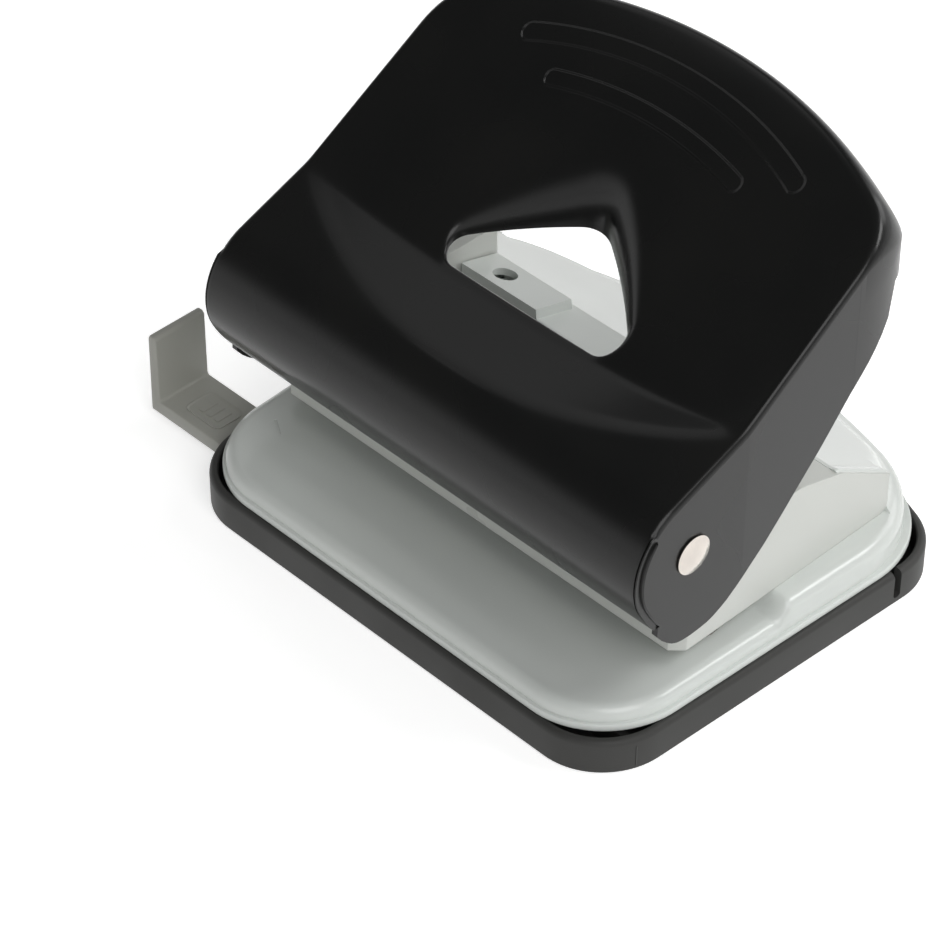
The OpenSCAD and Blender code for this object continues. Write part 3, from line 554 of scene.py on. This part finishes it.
def build_lever():
    bm = bmesh.new()
    small = LEVER_CORNER
    inner = LEVER_HALF - EDGE_R - small
    rear_centre = LEVER_REAR_Y - LEVER_REAR_R
    corner_y = rear_centre + math.sqrt((LEVER_REAR_R - REAR_EDGE_R - small) ** 2 - inner ** 2)
    turn = math.atan2(corner_y - rear_centre, inner)
    join_x = (LEVER_REAR_R - REAR_EDGE_R) * math.cos(turn)

    def rear_edge(x):
        if abs(x) <= join_x:
            return rear_centre + math.sqrt((LEVER_REAR_R - REAR_EDGE_R) ** 2 - x * x)
        return corner_y + math.sqrt(max(small ** 2 - (abs(x) - inner) ** 2, 0.0))

    # flat pattern: across in x, along the side view in s
    bend = math.asin((join_x - inner) / small)
    half = [join_x * i / 56 for i in range(57)]
    half += [inner + small * math.sin(bend + (math.pi / 2 - bend) * i / 12) for i in range(1, 13)]
    across = [-x for x in reversed(half[1:])] + half
    shared = SIDE.along(-2.0)
    front_rows = [shared * i / 84 for i in range(85)]
    back_rows = 60
    columns, rows = len(across), len(front_rows) + back_rows
    grid = bmesh.ops.create_grid(bm, x_segments=columns - 1, y_segments=rows - 1, size=1.0)["verts"]
    grid.sort(key=lambda v: (round(v.co.y, 6), round(v.co.x, 6)))
    for j in range(rows):
        for i, x in enumerate(across):
            if j < len(front_rows):
                s = front_rows[j]
            else:
                end = SIDE.along(rear_edge(x))
                s = shared + (end - shared) * (j - len(front_rows) + 1) / back_rows
            grid[j * columns + i].co = (x, s, 0.0)

    # hole of the window, filled in to the drawn edge with small triangles
    rings = window_rings()
    loop = [(x, SIDE.along(y)) for x, y, _ in rings[0]]
    centre_s = sum(s for _, s in loop) / len(loop)
    wide = [(x * 1.025, centre_s + (s - centre_s) * 1.04) for x, s in loop]
    gone = [f for f in bm.faces if any(inside(v.co.xy, wide) for v in f.verts)]
    outer_before = {e for e in bm.edges if e.is_boundary}
    bmesh.ops.delete(bm, geom=gone, context="FACES")
    ragged = [e for e in bm.edges if e.is_boundary and e not in outer_before]
    rim, rim_edges = closed_ring(bm, [(x, s, 0.0) for x, s in loop])
    bmesh.ops.triangle_fill(bm, use_beauty=True, use_dissolve=False, edges=ragged + rim_edges,
                            normal=(0, 0, 1))
    bmesh.ops.recalc_face_normals(bm, faces=bm.faces)
    if sum(f.normal.z for f in bm.faces) < 0:
        bmesh.ops.reverse_faces(bm, faces=bm.faces)
    placed = {}
    ring, ring_edges = rim, rim_edges
    for places in rings[1:]:
        ring, ring_edges = next_ring(bm, ring, ring_edges, [(0, 0, 0)] * len(ring))
        placed.update(zip(ring, places))

    # rounded outer edge, from the roll's left lower end round the back to its right lower end
    taken = set(ring_edges)
    outer = [e for e in bm.edges if e.is_boundary and e not in taken
             and not all(abs(v.co.y) < 1e-4 for v in e.verts)]
    outer_set = set(outer)
    path = [min((v for e in outer for v in e.verts if abs(v.co.y) < 1e-4), key=lambda v: v.co.x)]
    seen = set(path)
    while True:
        nxt = [e.other_vert(path[-1]) for e in path[-1].link_edges
               if e in outer_set and e.other_vert(path[-1]) not in seen]
        if not nxt:
            break
        path.append(nxt[0])
        seen.add(nxt[0])
    outward = []
    for i in range(len(path)):
        heading = (path[min(i + 1, len(path) - 1)].co - path[max(i - 1, 0)].co).normalized()
        outward.append(Vector((-heading.y, heading.x, 0)))
    if outward[0].x > 0:
        outward = [-o for o in outward]
    anchors = [v.co.copy() for v in path]
    seam = ((0.45, 0.0), (0.72, 0.03), (0.80, 0.45), (0.94, 0.45), (1.0, 0.04), (1.2, 0.12))
    current, current_edges = path, outer
    for k in range(7):
        a = math.radians((13, 26, 39, 52, 65, 78, 90)[k])
        places = []
        for anchor, way in zip(anchors, outward):
            radius = (EDGE_R + (REAR_EDGE_R - EDGE_R) * way.y ** 2 + CORNER_EDGE_R * (2 * way.x * way.y) ** 2
                      if anchor.y > shared else EDGE_R)
            deeper = 1 + 1.2 * (2 * way.x * way.y) ** 2 if anchor.y > shared else 1
            out, down = radius * math.sin(a), radius * deeper * (1 - math.cos(a))
            if k < 6:
                share = 1 - smooth_step(anchor.y, SIDE.seam_end - 0.9, SIDE.seam_end)
                out += (seam[k][0] - out) * share
                down += (seam[k][1] - down) * share
            places.append(anchor + way * out + Vector((0, 0, -down)))
        current, current_edges = next_ring(bm, current, current_edges, places)

    # bend the flat pattern into the lever
    for v in bm.verts:
        if v in placed:
            v.co = placed[v]
        else:
            x, s, h = v.co
            y, z, ny, nz = SIDE.at(s)
            v.co = (x, y + ny * h, z + nz * h - (scoop(x, y) if s > SIDE.roll_end - 1 else 0.0))

    # turned-down rim round the back, then flat cheeks below both side edges
    right_flat = [v for v in current if abs(v.co.x - LEVER_HALF) < 0.02 and v.co.y <= corner_y + 0.05]
    left_flat = [v for v in current if abs(v.co.x + LEVER_HALF) < 0.02 and v.co.y <= corner_y + 0.05]
    flat_set = set(right_flat) | set(left_flat)
    round_back = [e for e in current_edges if not all(v in flat_set for v in e.verts)]
    back_path = [v for v in current if any(e in set(round_back) for e in v.link_edges)]
    for step in (1, 2, 3):
        places = []
        for v in back_path:
            x, y, z = v.co
            under = z - 1.1
            if abs(x) > join_x - 5:
                curl = smooth_step(join_x - abs(x), 0.0, 5.0)
                under = low_edge(y) * (1 - curl) + under * curl
            places.append((x, y, z + (under - z) / (4 - step)))
        back_path, round_back = next_ring(bm, back_path, round_back, places)
    outline = ((-32.3, 26.1), (-31.2, 24.6), (-30.0, 23.4), (-28.9, 22.5), (-27.7, 21.9),
               (-26.4, 21.6), (-24.5, 21.5), (-22.6, 21.6), (-20.8, 21.8), (-19.4, 22.2), (-17.8, 22.9),
               (-16.3, 23.7), (-13.8, 25.5), (-11.4, 27.4), (-7.8, 30.2), (-3.5, 34.2), (0.7, 38.3), (4.9, 42.3))
    for flat_side, sign in ((left_flat, -1), (right_flat, 1)):
        chain = sorted(flat_side, key=lambda v: current.index(v))
        if sign > 0:
            chain.reverse()
        end = chain[-1]
        down = []
        while True:
            lower = [e.other_vert(end) for e in end.link_edges if e.other_vert(end) not in seen
                     and abs(abs(e.other_vert(end).co.x) - LEVER_HALF) < 0.02
                     and abs(e.other_vert(end).co.y - end.co.y) < 1e-5
                     and e.other_vert(end).co.z < end.co.z - 1e-4]
            if not lower:
                break
            end = lower[0]
            down.append(end)
        lower = [bm.verts.new((sign * LEVER_HALF, y, z)) for y, z in outline]
        side_face = bm.faces.new(chain + down + list(reversed(lower)))
        side_face.normal_update()
        if side_face.normal.x * sign < 0:
            side_face.normal_flip()
    bmesh.ops.bisect_plane(bm, geom=bm.verts[:] + bm.edges[:] + bm.faces[:], dist=1e-4,
                           plane_co=(0, BEND_Y, 0), plane_no=(0, 1, 0))
    for v in bm.verts:
        v.co.x = toed_in(v.co.x, v.co.y)
    bmesh.ops.triangulate(bm, faces=[f for f in bm.faces if len(f.verts) > 8])
    bm.normal_update()
    lever = piece("pressed_steel_lever", bm, "lever", paint, ["lever"])
    thicken(lever, SHEET)
    keep_shape(lever)
    for side in (-1, 1):
        hole = drawn_rod(0, 0, -3, 3, 2.56, 48)
        bmesh.ops.rotate(hole, verts=hole.verts, cent=(0, 0, 0), matrix=Matrix.Rotation(math.pi / 2, 3, "Y"))
        bmesh.ops.translate(hole, vec=(side * LEVER_HALF, HINGE_Y, HINGE_Z), verts=hole.verts)
        cut_with(lever, tool(hole))
    lever.data.set_sharp_from_angle(angle=math.radians(34))
    for face in lever.data.polygons:
        face.use_smooth = not all(on_cheek(lever.data.vertices[i].co * 1000) for i in face.vertices)
    return lever


# ---------------------------------------------------------------- base

def table_height(y):
    return TABLE_Z + (SHOULDER_Z - TABLE_Z) * smooth_step(y, -4.6, -0.9)


def shell_top(x, y, inset):
    """Height of the light shell's top: table, shoulders, hood and pads."""
    flat = table_height(y)
    edge = 2.2 + 0.3 * smooth_step(y, -4.6, -0.9)
    d = max(inset, 0.0)
    z = flat - edge + math.sqrt(max(edge ** 2 - max(edge - d, 0.0) ** 2, 0.0))
    hood = CREST_Z - (y - CREST_Y) * (HOOD_FALL if y > CREST_Y else 0.29)
    hood = soft_min(hood, CREST_Z + 1.2, 0.8) if abs(y - CREST_Y) < 4 else hood
    between_walls = abs(x) < 46.74
    if y >= WALL_REAR_Y - 0.4:
        flank = SHOULDER_Z + 3.0 * (d - 2.5)
        lowered = soft_min(hood, flank, 4.0)
        z = soft_max(z, lowered, 2.6)
    elif between_walls and (y > 13.05 or (abs(x) < 31.4 and y > HOOD_FRONT_Y)):
        z = hood + 0.3 * smooth_step(abs(x), 44.4, 45.7)
        if abs(x) > 45.8:
            z -= 0.95 - math.sqrt(0.95 ** 2 - (abs(x) - 45.8) ** 2)
        if 13.3 < abs(x) < 31.4 and y < 12.7:
            z += 2.0
    return z


def build_shell():
    bm = bmesh.new()

    def level(inset, z, rear_corner=FLANGE_CORNER):
        return [(x, y, z) for x, y in base_outline(SHELL_CORNER, STRIP_INSET + inset, 2, rear_corner)]

    ring, edges = closed_ring(bm, level(0.4, TRAY_TOP - 0.05))
    for inset, z in ((0.12, TRAY_TOP + 0.2), (0.0, TRAY_TOP + 0.5), (0.0, FLANGE_Z - 0.35), (0.1, FLANGE_Z - 0.1),
                     (0.3, FLANGE_Z)):
        ring, edges = next_ring(bm, ring, edges, level(inset, z))
    for inset, z in ((FLANGE + 0.03, FLANGE_Z + 0.05), (FLANGE, FLANGE_Z + 0.3), (FLANGE, TABLE_Z)):
        ring, edges = next_ring(bm, ring, edges, level(inset, z, SHOULDER_CORNER))
    face = bm.faces.new(ring)
    face.normal_update()
    if face.normal.z < 0:
        face.normal_flip()
    for step in (0.12, 0.2, 0.3, 0.38, 0.45, 0.5, 0.55, 0.6, 0.7, 0.7, 0.7, 0.7, 0.7, 0.8, 0.8, 0.9, 1.0, 1.2):
        bmesh.ops.inset_region(bm, faces=[face], thickness=step, depth=0.0, use_even_offset=True,
                               use_boundary=True)
    # cross cuts, so that the middle can follow the hood
    cuts_y = [-4.8 + 0.35 * k for k in range(13)]
    cuts_y += [HOOD_FRONT_Y - 0.06, HOOD_FRONT_Y + 0.06, 12.62, 12.78, 12.98, 13.12, 13.6, 14.0, 14.4,
               WALL_REAR_Y - 0.45]
    cuts_y += [16 + 1.5 * k for k in range(19)] + [12.9 + 0.3 * k for k in range(8)]
    cuts_x = [s * v for s in (-1, 1) for v in (13.22, 13.38, 31.32, 31.46, 44.4, 45.2, 45.8, 46.15, 46.4, 46.6,
                                               46.72, 46.76)]
    cuts_x += [4 * k for k in range(-10, 11)]
    for cut in cuts_y:
        bmesh.ops.bisect_plane(bm, geom=bm.verts[:] + bm.edges[:] + bm.faces[:], dist=1e-4,
                               plane_co=(0, cut, 0), plane_no=(0, 1, 0))
    for cut in cuts_x:
        bmesh.ops.bisect_plane(bm, geom=bm.verts[:] + bm.edges[:] + bm.faces[:], dist=1e-4,
                               plane_co=(cut, 0, 0), plane_no=(1, 0, 0))
    big = (BASE_HALF ** 2 + BASE_BOW ** 2) / (2 * BASE_BOW)

    def inset_of(x, y):
        half, front, rear, r, q = BASE_HALF, BASE_FRONT, BASE_REAR, SHELL_CORNER, SHOULDER_CORNER
        centre = rear - big
        corner_y = centre + math.sqrt((big - q) ** 2 - (half - q) ** 2)
        x /= 1 + BASE_TAPER * y
        ax = abs(x)
        turn_x = (ax - (half - q), y - corner_y)
        if y < front + r and ax > half - r:
            d = r - math.hypot(ax - (half - r), y - front - r)
        elif (y > corner_y and turn_x[0] > 0
              and math.atan2(turn_x[1], turn_x[0]) < math.atan2(corner_y - centre, half - q)):
            d = q - math.hypot(*turn_x)
        else:
            d = min(half - ax, y - front, big - math.hypot(x, y - centre))
        return d - STRIP_INSET - FLANGE

    for v in bm.verts:
        if v.co.z > TABLE_Z - 0.01:
            v.co.z = shell_top(v.co.x, v.co.y, inset_of(v.co.x, v.co.y))
    face_outwards(bm)
    if sum(f.normal.z for f in bm.faces) < 0:
        bmesh.ops.reverse_faces(bm, faces=bm.faces)
    bmesh.ops.remove_doubles(bm, verts=bm.verts, dist=0.01)
    bm.normal_update()
    shell = piece("light_base_moulding", bm, "base", shell_plastic.material, ["base_shell"], crease=38)
    thicken(shell, 1.9)
    keep_shape(shell)
    for x in (-25, 25):
        cut_with(shell, tool(drawn_rod(x, 8.3, 20, 40, 2.2)))
    for x in (-PIN_X, PIN_X):
        cut_with(shell, tool(drawn_rod(x, PIN_Y, 5, 12.5, 5.02)))
    # short mark pressed into the table, beside the sheet's edge
    mark = drawn_block(-0.3, 0.3, -2.0, 2.0, TABLE_Z - 0.25, TABLE_Z + 1)
    bmesh.ops.rotate(mark, verts=mark.verts, cent=(0, 0, 0), matrix=Matrix.Rotation(math.radians(58), 3, "Z"))
    bmesh.ops.translate(mark, vec=(-42.3, -29.5, 0), verts=mark.verts)
    cut_with(shell, tool(mark))
    return shell


def build_shell_inside():
    """What shows inside the base when the tray is open: skirt, bosses and standoffs."""
    bm = bmesh.new()
    for x in (-25, 25):
        drawn_rod(x, 8.5, 12.3, 29.5, 4.0, 40, bm)
    for x in (-28, 28):
        drawn_rod(x, PIN_Y, 7.8, 9.6, 4.0, 40, bm)
    for k in range(-2, 3):
        drawn_block(k * 18 - 0.6, k * 18 + 0.6, 16, 34 - abs(k) * 1.6, 9.4, 14.5 - abs(k) * 0.3, bm)
    inside_piece = piece("base_ribs_and_bosses", bm, "base", shell_plastic.material, [], crease=30)
    skirt = bmesh.new()
    outer = [skirt.verts.new((x, y, 5.8)) for x, y in base_outline(SHELL_CORNER, STRIP_INSET + 2.3, 2)]
    inner = [skirt.verts.new((x, y, 5.8)) for x, y in base_outline(SHELL_CORNER, STRIP_INSET + 3.4, 2)]
    for ring in (outer, inner):
        for a, b in zip(ring, ring[1:] + ring[:1]):
            skirt.edges.new((a, b))
    bmesh.ops.bridge_loops(skirt, edges=skirt.edges[:])
    up = bmesh.ops.extrude_face_region(skirt, geom=skirt.faces[:])
    bmesh.ops.translate(skirt, vec=(0, 0, 4.2), verts=[g for g in up["geom"] if isinstance(g, bmesh.types.BMVert)])
    face_outwards(skirt)
    return inside_piece, piece("base_locating_skirt", skirt, "base", shell_plastic.material, [],
                               crease=30)


def build_tray():
    bm = bmesh.new()

    def level(inset, z):
        return [(x, y, z) for x, y in base_outline(TRAY_CORNER, inset, 2)]

    # foot, upright wall, round top edge, then the inside wall and the floor
    walk = [(0.25, 0.12), (0.0, 0.45), (0.0, TRAY_TOP - 1.1)]
    walk += [(1.05 * (1 - math.cos(math.radians(15 * k))), TRAY_TOP - 1.1 + 1.05 * math.sin(math.radians(15 * k)))
             for k in range(1, 7)]
    walk += [(1.35, TRAY_TOP - 0.05), (1.6, TRAY_TOP - 0.3), (1.6, 1.4), (1.8, 1.2)]
    ring, edges = closed_ring(bm, level(0.6, 0.0))
    bm.faces.new(ring)
    for inset, z in walk:
        ring, edges = next_ring(bm, ring, edges, level(inset, z))
    bm.faces.new(ring)
    face_outwards(bm)
    tray = piece("dark_chip_tray", bm, "tray", tray_plastic.material, ["chip_tray"], crease=32)
    for side in (-1, 1):
        slit = drawn_block(46, 54, 21.9, 23.5, 1.4, 8)
        bmesh.ops.bevel(slit, geom=[e for e in slit.edges if abs(e.verts[0].co.y - e.verts[1].co.y) < 1e-6
                                    and abs(e.verts[0].co.z - e.verts[1].co.z) < 1e-6
                                    and e.verts[0].co.z < 2], offset=0.7, offset_type="OFFSET",
                        affect="EDGES", segments=4, profile=0.5, material=-1)
        if side < 0:
            bmesh.ops.scale(slit, vec=(-1, 1, 1), verts=slit.verts)
            bmesh.ops.reverse_faces(slit, faces=slit.faces)
        cut_with(tray, tool(slit))
    cut_with(tray, tool(drawn_block(-54, -48.4, -35.2, -23.3, 2.0, 5.2)))
    rails = bmesh.new()
    for y in (-36.5, -23.3):
        drawn_block(-49.6, 50.2, y, y + 1.3, 0.9, 5.2, rails)
    for x in (-40, -13.7, 12.6):
        drawn_block(x, x + 8, -36.5, -34.3, 5.2, 6.0, rails)
        drawn_block(x, x + 8, -24.2, -22.0, 5.2, 6.0, rails)
        drawn_block(x, x + 4, -35.2, -23.3, 0.9, 2.1, rails)
    guide_rails = piece("tray_guide_rails", rails, "tray", tray_plastic.material, [], crease=30)
    return tray, guide_rails


def build_guide():
    bm = bmesh.new()
    outline = [(-69.7, 2.2), (33.6, 2.2), (33.6, 5.0), (-67.1, 5.0), (-67.4, 5.3), (-67.4, 18.6), (-67.9, 19.2),
               (-69.0, 19.2), (-69.4, 18.4)]
    face = bm.faces.new([bm.verts.new((x, -35.0, z)) for x, z in outline])
    grown = bmesh.ops.extrude_face_region(bm, geom=[face])["geom"]
    bmesh.ops.translate(bm, vec=(0, 11.5, 0), verts=[g for g in grown if isinstance(g, bmesh.types.BMVert)])
    face_outwards(bm)
    bmesh.ops.bevel(bm, geom=[e for e in bm.edges if e.calc_face_angle(0) > 0.6], offset=0.35,
                    offset_type="OFFSET", affect="EDGES", segments=3, profile=0.5, material=-1)
    bar = piece("sliding_paper_guide", bm, "guide", guide_plastic.material, ["paper_guide"], crease=40)
    # raised badge frame on the bar, with three short bars in it
    ring = drawn_block(-63.2, -54.4, -32.9, -26.4, 4.9, 5.22)
    bmesh.ops.bevel(ring, geom=[e for e in ring.edges if abs(e.verts[0].co.z - e.verts[1].co.z) > 0.1], offset=1.4,
                    offset_type="OFFSET", affect="EDGES", segments=6, profile=0.5, material=-1)
    top = max(ring.faces, key=lambda f: f.calc_center_median().z)
    bmesh.ops.inset_region(ring, faces=[top], thickness=0.42, depth=0.0, use_even_offset=True, use_boundary=True)
    bmesh.ops.translate(ring, vec=(0, 0, -0.24), verts=top.verts[:])
    for k in range(3):
        drawn_block(-61.0 + k * 1.9, -59.9 + k * 1.9, -31.3, -28.0, 4.9, 5.16, ring)
    badge_piece = piece("guide_badge_frame", ring, "guide", guide_plastic.material, [], crease=30)
    return bar, badge_piece


def build_rivet(side):
    centre_x = side * (LEVER_HALF + 0.05)
    dome = [(0.0, 1.14), (0.8, 1.09), (1.6, 0.96), (2.3, 0.76), (2.8, 0.56), (3.2, 0.44), (3.52, 0.30),
            (3.52, 0.08), (3.42, 0.0), (2.5, 0.0), (2.5, -5.0), (3.4, -5.0), (3.7, -5.4), (3.6, -5.9), (0.0, -6.0)]
    bm = turned(dome, (0, 0, 0), "x", 56)
    if side < 0:
        bmesh.ops.scale(bm, vec=(-1, 1, 1), verts=bm.verts)
        bmesh.ops.reverse_faces(bm, faces=bm.faces)
    bmesh.ops.translate(bm, vec=(centre_x, HINGE_Y, HINGE_Z), verts=bm.verts)
    word = "left" if side < 0 else "right"
    return piece("domed_rivet_" + word, bm, "base", nickel.material, ["hinge_rivet_" + word], crease=60)


def build_spring(side):
    """Round wire with closed end turns, squeezed by its pin."""
    low, high, radius, wire = 19.82, 38.93, 3.55, 0.4
    turns, closed, steps, sides = 9.5, 1.2, 22, 10
    bm = bmesh.new()
    total = int(turns * steps)
    rise = high - low - 2 * wire
    ring_before = None
    for i in range(total + 1):
        t = i / steps
        if t < closed:
            z = wire * 2 * t / closed * 0.9
        elif t > turns - closed:
            z = rise - wire * 2 * (turns - t) / closed * 0.9
        else:
            share = (t - closed) / (turns - 2 * closed)
            z = wire * 1.8 + (rise - wire * 3.6) * share
        angle = math.tau * t
        centre = Vector((radius * math.cos(angle), radius * math.sin(angle), low + wire + z))
        outward = Vector((math.cos(angle), math.sin(angle), 0))
        ring = [bm.verts.new(centre + outward * wire * math.cos(b) + Vector((0, 0, wire * math.sin(b))))
                for b in [math.tau * k / sides for k in range(sides)]]
        if ring_before:
            for a, b, c, d in zip(ring_before, ring_before[1:] + ring_before[:1], ring, ring[1:] + ring[:1]):
                bm.faces.new((a, b, d, c))
        else:
            bm.faces.new(list(reversed(ring)))
        ring_before = ring
    bm.faces.new(ring_before)
    face_outwards(bm)
    bmesh.ops.translate(bm, vec=(side * PIN_X, PIN_Y, 0), verts=bm.verts)
    word = "left" if side < 0 else "right"
    spring = piece("coil_spring_" + word, bm, "base", spring_wire.material, ["spring_" + word],
                   crease=70)
    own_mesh(spring)
    return spring


lever = build_lever()
shell = build_shell()
build_shell_inside()
build_tray()
build_guide()
for side in (-1, 1):
    build_rivet(side)
    build_spring(side)

finishes = {
    "anti_slip_pads": pad_rubber, "punch_frame": frame_plastic, "frame_screws": zinc, "die_plate": plain_steel,
    "die_screws": zinc, "die_left": ground_steel, "die_right": ground_steel, "guide_bush_left": brass,
    "guide_bush_right": brass, "pin_left": ground_steel, "pin_right": ground_steel, "press_left": plain_steel,
    "press_right": plain_steel, "hinge_washer_left": nylon, "hinge_washer_right": nylon,
}
for name, finish in finishes.items():
    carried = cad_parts[name]
    carried.data.materials.clear()
    carried.data.materials.append(finish.material)


# ---------------------------------------------------------------- studio

def white_stage_material():
    finish = Finish("pale studio floor")
    nodes = finish.tree.nodes
    clouds = finish.noise(90.0, 2.0)
    finish.colour((0.86, 0.86, 0.855), (0.84, 0.84, 0.835), clouds)
    finish.set(Roughness=0.7, Specular_IOR_Level=0.2)
    ray = finish.node("ShaderNodeLightPath")
    seen = finish.sum("MAXIMUM", ray.outputs["Is Camera Ray"], ray.outputs["Is Glossy Ray"])
    seen = finish.sum("MAXIMUM", seen, ray.outputs["Is Transmission Ray"])
    glow = finish.node("ShaderNodeEmission")
    finish.join(finish.sum("MULTIPLY", seen, FLOOR_GLOW), glow.inputs["Strength"])
    both = finish.node("ShaderNodeAddShader")
    finish.join(finish.shader.outputs[0], both.inputs[0])
    finish.join(glow.outputs[0], both.inputs[1])
    finish.join(both.outputs[0], nodes["Material Output"].inputs["Surface"])
    return finish.material


floor_bm = bmesh.new()
bmesh.ops.create_grid(floor_bm, x_segments=8, y_segments=8, size=3.0)
floor_mesh = bpy.data.meshes.new("studio_floor")
floor_bm.to_mesh(floor_mesh)
floor_bm.free()
floor = bpy.data.objects.new("studio_floor", floor_mesh)
SHOP.objects.link(floor)
floor_mesh.materials.append(white_stage_material())

world = bpy.data.worlds.new("studio")
bpy.context.scene.world = world
world.use_nodes = True
sky = world.node_tree
background = sky.nodes["Background"]
path = sky.nodes.new("ShaderNodeLightPath")
direction = sky.nodes.new("ShaderNodeTexCoord")
upward = sky.nodes.new("ShaderNodeSeparateXYZ")
sky.links.new(direction.outputs["Generated"], upward.inputs[0])
dome = sky.nodes.new("ShaderNodeMapRange")
dome.interpolation_type = "SMOOTHSTEP"
for socket, value in (("From Min", 0.12), ("From Max", 0.5), ("To Min", 1.0), ("To Max", 0.1)):
    dome.inputs[socket].default_value = value
sky.links.new(upward.outputs["Z"], dome.inputs["Value"])
pick = sky.nodes.new("ShaderNodeMix")
pick.data_type = "FLOAT"
sky.links.new(path.outputs["Is Camera Ray"], pick.inputs["Factor"])
sky.links.new(dome.outputs["Result"], pick.inputs["A"])
pick.inputs["B"].default_value = 1.0
sky.links.new(pick.outputs["Result"], background.inputs["Strength"])
background.inputs["Color"].default_value = (1, 1, 1, 1)


def soft_lamp(name, place, aim, size, watts):
    lamp = bpy.data.lights.new(name, "AREA")
    lamp.shape = "RECTANGLE"
    lamp.size, lamp.size_y = size
    lamp.energy = watts
    made = bpy.data.objects.new(name, lamp)
    SHOP.objects.link(made)
    made.location = place
    made.rotation_euler = (Vector(place) - Vector(aim)).to_track_quat("Z", "Y").to_euler()
    return made


soft_lamp("key softbox", (0.75, -0.35, 0.75), (0, 0, 0.03), (0.7, 0.7), 5.2)
soft_lamp("rear softbox", (0.15, 0.95, 0.62), (0, 0, 0.02), (0.5, 0.5), 2.3)
soft_lamp("edge softbox", (0.56, 0.58, 0.78), (0, 0, 0.03), (0.5, 0.25), 3.2)
soft_lamp("band softbox", (-0.54, 0.38, 0.78), (0, 0, 0.05), (0.42, 0.42), 0.3)

azimuth, elevation, distance = math.radians(45.714), math.radians(41.106), 0.6573
target = Vector((-0.0198, -0.0047, 0.0))
back = Vector((math.sin(azimuth) * math.cos(elevation), -math.cos(azimuth) * math.cos(elevation),
               math.sin(elevation)))
lens = bpy.data.cameras.new("photo camera")
lens.sensor_width, lens.lens = 36.0, 144.07
lens.clip_start, lens.clip_end = 0.01, 20.0
camera = bpy.data.objects.new("photo camera", lens)
SHOP.objects.link(camera)
camera.location = target + back * distance
camera.rotation_euler = back.to_track_quat("Z", "Y").to_euler()
bpy.context.scene.camera = camera
bpy.context.scene.view_settings.view_transform = "Standard"

bpy.context.view_layer.update()
